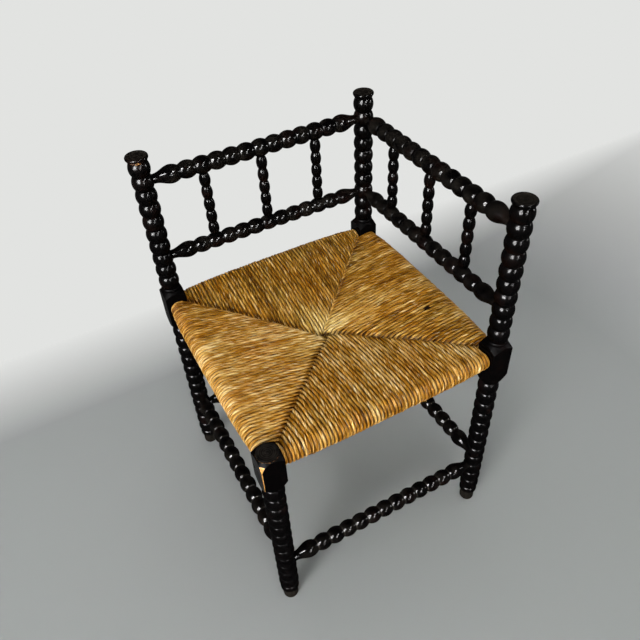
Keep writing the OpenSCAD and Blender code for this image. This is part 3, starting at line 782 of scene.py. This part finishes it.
def makeRush(name):
    material, tree = newMaterial(name)
    r = rush
    place = addNode(tree, "Attribute", attribute_name="rushPlace").outputs["Vector"]
    kept = [addNode(tree, "Attribute", attribute_name=k) for k in ("rushTone", "rushHue", "rushFurrow")]
    tone, hue, furrow = (node.outputs["Fac"] for node in kept)
    leaf = patternOf(tree, place, (r["leafWidth"], r["leafWidth"], r["leafLength"]), 3.0, 0.6)
    fibre = patternOf(tree, place, (r["fibreWidth"], r["fibreWidth"], r["leafLength"]), 2.0, 0.6)
    # Where the painted glints, pale painted highlights, fall along the leaves
    flat = patternOf(tree, place, (r["glintWidth"], r["glintWidth"], r["glintLength"]), 1.0, 0.6)

    value = addNode(tree, "Math", [tone, r["toneShare"]], operation="MULTIPLY")
    value = addNode(tree, "Math", [leaf, r["leafShare"], value], operation="MULTIPLY_ADD")
    value = addNode(tree, "Math", [fibre, r["fibreShare"], value], operation="MULTIPLY_ADD")
    middle = (r["leafShare"] + r["fibreShare"]) / 2
    share = addNode(tree, "MapRange", [value, middle - r["reach"], middle + r["reach"]])
    kinds = ("golden", "reddish", "bleached")
    golden, reddish, bleached = (addNode(tree, "ValToRGB", [share], zip(r["steps"], r[k])) for k in kinds)
    # Over the golden leaves go the redder and the bleached ones, the painted glints, which are painted
    # highlights, the painted shade in the furrows and the burnt spot
    layers = (
        (addNode(tree, "MapRange", [hue, 0.0, -1.0]), reddish),
        (addNode(tree, "MapRange", [hue, 0.0, 1.0]), bleached),
        (addNode(tree, "MapRange", [flat, *r["glintRange"], 0.0, r["glintShare"]]), colour(r["glint"])),
        (furrow, colour(r["furrowShade"])),
        (addNode(tree, "MapRange", [furrow, 1.0, 2.0]), colour(r["burn"])),
    )
    straw = golden
    for amount, over in layers:
        straw = addNode(tree, "Mix", {0: amount, 6: straw, 7: over}, data_type="RGBA")
    relief = addNode(tree, "Math", [fibre, r["fibreRelief"], leaf], operation="MULTIPLY_ADD")
    bump = addNode(tree, "Bump", {"Height": relief, "Strength": 0.7, "Distance": r["fibreDepth"] * mm})
    surface = addNode(tree, "BsdfPrincipled", {
        "Base Color": straw,
        "Roughness": addNode(tree, "MapRange", [leaf, *r["leafRange"], r["roughEdge"], r["smoothEdge"]]),
        "IOR": 1.45,
        "Specular IOR Level": 0.02,
        "Specular Tint": colour(r["skin"]),
        "Normal": bump,
    })
    addNode(tree, "OutputMaterial", {"Surface": surface})
    return material


# Where the seat is worn, bleached and burnt, where it is darker towards the corner by the left post, and
# where painted shade darkens the middle hole, the seams and the furrows, in millimetres from its middle
seatMarks = {
    "wornMiddle": Vector((14, 34, 0)), "wornReach": 46.0, "wornPale": 0.6, "bleachReach": 42.0,
    "darkSpot": Vector((171, -63, 0)), "darkReach": 5.2, "darkDepth": 4,
    "patch": 38.0, "patchDepth": 0.288, "smallPatch": 15.2, "smallDepth": 0.5,
    "brownCorner": Vector((-215, 135, 0)), "brownReach": 85.0, "brownDepth": 0.55,
    "cordDepth": 0.2, "leafRun": 30.0, "leafDepth": 0.6,
    "rubOut": 10, "rubReach": 14.0,
    # Painted shade round the hole in the middle and along the seams
    "holeReach": 12.0, "holeDark": 3.0, "seamDark": 0.75, "seamReach": 0.55, "seamFurrowShade": 0.4,
    "furrowShadeRun": 16.0,
    "huePatch": 55.0, "hueRun": 36.0, "hueDepth": 0.45,
}


# A value from about -1 to 1 that wanders along a cord, each cord's own
def wanderOf(along, cord, kind, seed):
    return noise.noise(Vector((along, cord * apart[kind], seed)))


# How pale the leaves are at a place on the seat
def toneAt(place, out, height, cordTone, seed):
    m = seatMarks
    patch = noise.noise(place / m["patch"] + Vector((seed, 0, 0)))
    patch += m["smallDepth"] * noise.noise(place / m["smallPatch"] + Vector((0, seed, 0)))
    tone = cordTone + m["patchDepth"] * patch
    flat = Vector((place.x, place.y, 0))
    if height > 0 or out < seat["half"]:
        tone += m["wornPale"] * math.exp(-((flat - m["wornMiddle"]).length / m["wornReach"]) ** 2)
        # Painted shade in the hole where the four seams meet
        tone -= m["holeDark"] * max(0, 1 - flat.length / m["holeReach"])
        # Darker towards the corner by the left post
        if place.x < -abs(place.y):
            tone -= m["brownDepth"] * math.exp(-((flat - m["brownCorner"]).length / m["brownReach"]) ** 2)
    return tone


# From -1, reddish, over 0, golden, to 1, bleached
def hueAt(place, run, cord, seed):
    m = seatMarks
    hue = m["hueDepth"] * noise.noise(place / m["huePatch"] + Vector((0, 0, seed)))
    hue += m["hueDepth"] * wanderOf(run / m["hueRun"], cord, "hue", seed + apart["hueSeed"])
    flat = Vector((place.x, place.y, 0))
    return hue + math.exp(-((flat - m["wornMiddle"] / 2).length / m["bleachReach"]) ** 2)


def makePanel(side, seed):
    s = seat
    panel = panels[side]
    m = seatMarks
    outward = outwards[side]
    sideways = Vector((-outward.y, outward.x, 0))
    rng = random.Random(seed)
    reach = s["half"] - s["blockHalf"]
    pitch = 2 * reach / s["cords"]
    curve = bpy.data.curves.new(side + "_rush", "CURVE")
    curve.dimensions = "3D"
    curve.bevel_mode = "OBJECT"
    curve.bevel_object = section
    curve.use_fill_caps = True
    curve.twist_mode = "MINIMUM"
    places = []
    for k in range(s["cords"]):
        along = -reach + (k + 0.5) * pitch
        way = cordWay(along, pitch, panel["midR"])
        line = curve.splines.new("POLY")
        line.points.add(len(way) - 1)
        turnOff = rng.uniform(0, fullTurn)
        size = s["layer"] / 2 * mm * rng.uniform(*s["girths"])
        cordTone = rng.gauss(0, m["cordDepth"])
        run = 0.0
        before = None
        for point, (out, height) in zip(line.points, way):
            here = outward * out + sideways * along + Vector((0, 0, railZ + height))
            calm = min(1, (reach - abs(along)) / s["calmWidth"])  # the outermost cords lie straight
            wave = noise.noise(Vector((out / s["waveLength"], along / s["waveWidth"], seed)))
            bend = wanderOf(out / s["jitterLength"], k, "jitter", seed)
            rise = wanderOf(out / s["jitterLength"], k, "height", seed + apart["heightSeed"])
            here += sideways * (s["wave"] * wave + s["jitter"] * bend) * calm
            here.z += s["jitter"] * rise
            run += (here - before).length if before is not None else 0
            before = here
            point.co = (*(here * mm), 1)
            point.radius = size * (1 + s["swell"] * wanderOf(run * s["swellScale"], k, "swell", seed))
            point.tilt = turnOff + fullTurn * run / s["lay"]
            ownTone = cordTone + m["leafDepth"] * wanderOf(run / m["leafRun"], k, "leaf", seed)
            inSeam = math.exp(-((out - abs(along)) / (m["seamReach"] * pitch)) ** 2)
            overRail = math.exp(-((out - s["half"] - m["rubOut"]) / m["rubReach"]) ** 2)
            # The panel's tone: partly the leaves' own, partly painted shade on the back and right panels and
            # painted light on the left and front
            tone = toneAt(here, out, height, panel["tone"] + ownTone, seed)
            # Each panel's change of tone over the rail, and painted shade along the seam where the cords dive
            # under the next panel's
            tone += panel["rub"] * overRail - m["seamDark"] * inSeam
            hue = panel["hue"] + hueAt(here, run, k, seed)
            # Painted shade in the furrows, which wanders along the cord and is deeper in the seam
            furrowShade = panel["furrowShade"] * (1 + wanderOf(run / m["furrowShadeRun"], k, "furrowShade", seed))
            furrowShade += m["seamFurrowShade"] * inSeam
            burn = m["darkDepth"] * nearness(Vector((here.x, here.y, 0)), m["darkSpot"], m["darkReach"])
            burn = burn if height > 0 else 0.0
            places.append((here * mm, run * mm + k * apart["leaves"], tone, hue, furrowShade, burn))
    holder = bpy.data.objects.new(side + "_rush_curve", curve)
    scene.collection.objects.link(holder)
    bpy.context.view_layer.update()
    shaped = holder.evaluated_get(bpy.context.evaluated_depsgraph_get())
    mesh = bpy.data.meshes.new_from_object(shaped)
    bpy.data.objects.remove(holder)
    mesh.name = side + "_rush_panel"
    storePlaces(mesh, places, sideways)
    mesh.materials.clear()
    mesh.materials.append(rushMaterial)
    placePiece(mesh, "rush_seat")


# Keeps on the mesh each vertex's place round and along its cord, its tone and hue, and how much painted shade
# lies in the furrow there, which is most at the cord's sides, and more than 1 where it is burnt. Then it
# closes the cords' ends
def storePlaces(mesh, places, sideways):
    around = seat["around"]
    radius = seat["layer"] / 2 * mm
    kinds = {"rushPlace": "FLOAT_VECTOR", "rushTone": "FLOAT", "rushHue": "FLOAT", "rushFurrow": "FLOAT"}
    for name, kind in kinds.items():
        mesh.attributes.new(name, kind, "POINT")
    placeAttr, toneAttr, hueAttr, furrowAttr = (mesh.attributes[name] for name in kinds)
    firstRing = len(mesh.vertices) - len(places) * around  # the end caps come before the rings
    for i, (centre, run, tone, hue, furrowShade, burn) in enumerate(places):
        for j in range(around):
            turn = fullTurn * j / around
            spot = firstRing + i * around + j
            placeAttr.data[spot].vector = (radius * math.cos(turn), radius * math.sin(turn), run)
            toneAttr.data[spot].value = tone
            hueAttr.data[spot].value = hue
            off = mesh.vertices[spot].co - centre
            # Painted shade, darkest on the cord's sides where it lies against its neighbours
            furrow = furrowShade * max(0, 2 * abs(off.dot(sideways)) / off.length - 1)
            furrowAttr.data[spot].value = min(1, furrow) + 2 * min(1, burn)
    joined = bmesh.new()
    joined.from_mesh(mesh)
    bmesh.ops.remove_doubles(joined, verts=joined.verts, dist=samePlace)
    bmesh.ops.recalc_face_normals(joined, faces=joined.faces)
    joined.to_mesh(mesh)
    joined.free()
    for face in mesh.polygons:
        face.use_smooth = True


rushMaterial = makeRush("twisted_rush")
section = sectionCurve()
for seed, side in enumerate(panels):
    makePanel(side, seat["seed"] + seed)
bpy.data.objects.remove(section)
print("rush wound")


# The seat rails and the packing keep their own shapes, and show only between the cords. The rails are
# unstained beech, left as it came from the drawknife: pale brown and dry. The packing is loose rush:
# chopped dry leaves, a tangle of short streaks. Lengths are in millimetres

plainBeech = {
    "grainLength": 30.0, "grainWidth": 2.0, "depth": 0.2, "strength": 0.4, "roughness": 0.65,
    "shades": [(0.3, "#6d4a2a"), (0.6, "#8f6a40"), (0.85, "#ab8555")],
}
looseLeaves = {
    "length": 16.667, "width": 3.125, "depth": 1.0, "strength": 0.8, "roughness": 0.7,
    "shades": [(0.4, "#4a2c0c"), (0.6, "#8a5f22"), (0.8, "#b98d46")],
}


def finishDry(material, tree, streaks, kind):
    relief = {"Height": streaks, "Strength": kind["strength"], "Distance": kind["depth"] * mm}
    surface = addNode(tree, "BsdfPrincipled", {
        "Base Color": addNode(tree, "ValToRGB", [streaks], kind["shades"]),
        "Roughness": kind["roughness"],
        "Normal": addNode(tree, "Bump", relief),
    })
    addNode(tree, "OutputMaterial", {"Surface": surface})
    return material


def makePlainBeech(name, grainAxis):
    material, tree = newMaterial(name)
    place = addNode(tree, "TexCoord").outputs["Object"]
    sizes = [plainBeech["grainWidth"]] * 3
    sizes[grainAxis] = plainBeech["grainLength"]
    grain = patternOf(tree, place, sizes, 4.0, 0.6)
    return finishDry(material, tree, grain, plainBeech)


def makeLooseRush(name):
    material, tree = newMaterial(name)
    place = addNode(tree, "TexCoord").outputs["Object"]
    length, width = looseLeaves["length"], looseLeaves["width"]
    leaf = patternOf(tree, place, (length, width, width), 4.0, 0.65)
    crossing = patternOf(tree, place, (width, length, width), 4.0, 0.65)
    tangle = addNode(tree, "Math", [leaf, crossing], operation="MAXIMUM")
    return finishDry(material, tree, tangle, looseLeaves)


railWood = [makePlainBeech("plain_beech_along_x", 0), makePlainBeech("plain_beech_along_y", 1)]
looseRush = makeLooseRush("loose_rush")
for side in panels:
    along = 0 if side in ("front", "back") else 1
    for nodeName, material in ((side + "_seat_rail", railWood[along]), (side + "_packing", looseRush)):
        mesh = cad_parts[nodeName].data
        mesh.materials.clear()
        mesh.materials.append(material)
print("seat filled")


# Floor, light and air

studio = {
    "target": (0, 0, 0.42),
    "floor": "#8c8e8d", "floorHalf": 30,  # metres
    "backdrop": "#e2e3e1",
    "fade": (0.8, 2.2),        # metres from the chair, between which the floor passes into the backdrop
    "rearFade": (0.44, 0.72),  # the same behind the back, where the backdrop comes closer
    "air": "#e6e8ea", "airStrength": 0.26,
    "overhead": "#4c4e50", "overheadFade": (0.12, 0.5),  # sines of the heights where it takes over
}

# Each lamp's place in metres, its width and height, its power in watts, and what it acts on: the gleams
# stand at the softboxes' places and higher, and only show in the polish
lamps = {
    "left_softbox": ((-3.78, -2.25, 2.18), (1.62, 1.35), 285, "both"),
    "left_gleam": ((-3.78, -2.25, 2.18), (1.8, 1.62), 8700, "polish"),
    "front_softbox": ((-0.27, -4.68, 1.55), (1.0, 0.9), 117, "both"),
    "front_gleam": ((-0.27, -4.68, 1.55), (1.1, 0.96), 1900, "polish"),
    "right_softbox": ((4.32, -1.71, 1.37), (0.54, 0.68), 42, "both"),
    "right_gleam": ((4.32, -1.71, 1.37), (0.61, 0.72), 1150, "polish"),
    "left_high_gleam": ((-2.59, -1.81, 3.43), (0.9, 0.8), 1500, "polish"),
    "front_high_gleam": ((0.27, -3.9, 2.66), (0.6, 0.55), 500, "polish"),
    "right_high_gleam": ((1.4, -2.84, 3.48), (0.6, 0.55), 560, "polish"),
    "overhead_softbox": ((0.1, 0.2, 2.9), (2.6, 2.6), 38, "shade"),
}


# 1 for a ray that shows the backdrop, straight, in a shine or through something clear, and 0 for one that
# gathers light
def lookingRay(tree):
    ray = addNode(tree, "LightPath").outputs
    looking = addNode(tree, "Math", [ray["Is Camera Ray"], ray["Is Glossy Ray"]], operation="MAXIMUM")
    return addNode(tree, "Math", [looking, ray["Is Transmission Ray"]], operation="MAXIMUM")


# The floor is matt painted board, which passes into the backdrop for a looking ray
def makeStage():
    mesh = bpy.data.meshes.new("floor")
    sheet = bmesh.new()
    bmesh.ops.create_grid(sheet, x_segments=1, y_segments=1, size=studio["floorHalf"])
    sheet.to_mesh(mesh)
    sheet.free()
    material, tree = newMaterial("pale_floor")
    place = addNode(tree, "TexCoord").outputs["Object"]
    away = addNode(tree, "VectorMath", [place], operation="LENGTH")
    behind = addNode(tree, "SeparateXYZ", [place]).outputs["Y"]
    far = addNode(tree, "MapRange", [away, *studio["fade"]])
    rear = addNode(tree, "MapRange", [behind, *studio["rearFade"]])
    faded = addNode(tree, "Math", [far, rear], operation="MAXIMUM")
    share = addNode(tree, "Math", [lookingRay(tree), faded], operation="MULTIPLY")
    matt = {"Base Color": colour(studio["floor"]), "Roughness": 0.75, "Specular IOR Level": 0.0}
    board = addNode(tree, "BsdfPrincipled", matt)
    pale = addNode(tree, "Emission", {"Color": colour(studio["backdrop"])})
    addNode(tree, "OutputMaterial", {"Surface": addNode(tree, "MixShader", [share, board, pale])})
    mesh.materials.append(material)
    floor = bpy.data.objects.new("floor", mesh)
    scene.collection.objects.link(floor)


def makeLight():
    world = bpy.data.worlds.new("studio")
    world.use_nodes = True
    tree = world.node_tree
    tree.nodes.clear()
    direction = addNode(tree, "TexCoord").outputs["Generated"]
    rise = addNode(tree, "SeparateXYZ", [direction]).outputs["Z"]
    height = addNode(tree, "MapRange", [rise, *studio["overheadFade"]])
    ends = {0: height, 6: colour(studio["backdrop"]), 7: colour(studio["overhead"])}
    surround = addNode(tree, "Mix", ends, data_type="RGBA")
    looking = lookingRay(tree)
    air = colour(studio["air"])
    background = addNode(tree, "Background", {
        "Color": addNode(tree, "Mix", {0: looking, 6: air, 7: surround}, data_type="RGBA"),
        "Strength": addNode(tree, "MapRange", [looking, 0.0, 1.0, studio["airStrength"], 1.0]),
    })
    addNode(tree, "OutputWorld", {"Surface": background})
    scene.world = world
    for name, (place, size, watts, actsOn) in lamps.items():
        data = bpy.data.lights.new(name, "AREA")
        data.shape = "RECTANGLE"
        data.size, data.size_y = size
        data.energy = watts
        item = bpy.data.objects.new(name, data)
        scene.collection.objects.link(item)
        item.visible_glossy = actsOn != "shade"
        item.visible_diffuse = actsOn != "polish"
        aim = (Vector(studio["target"]) - Vector(place)).to_track_quat("-Z", "Y")
        item.matrix_world = Matrix.Translation(place) @ aim.to_matrix().to_4x4()


makeStage()
makeLight()
scene.view_settings.view_transform = "Standard"
print("stage set")
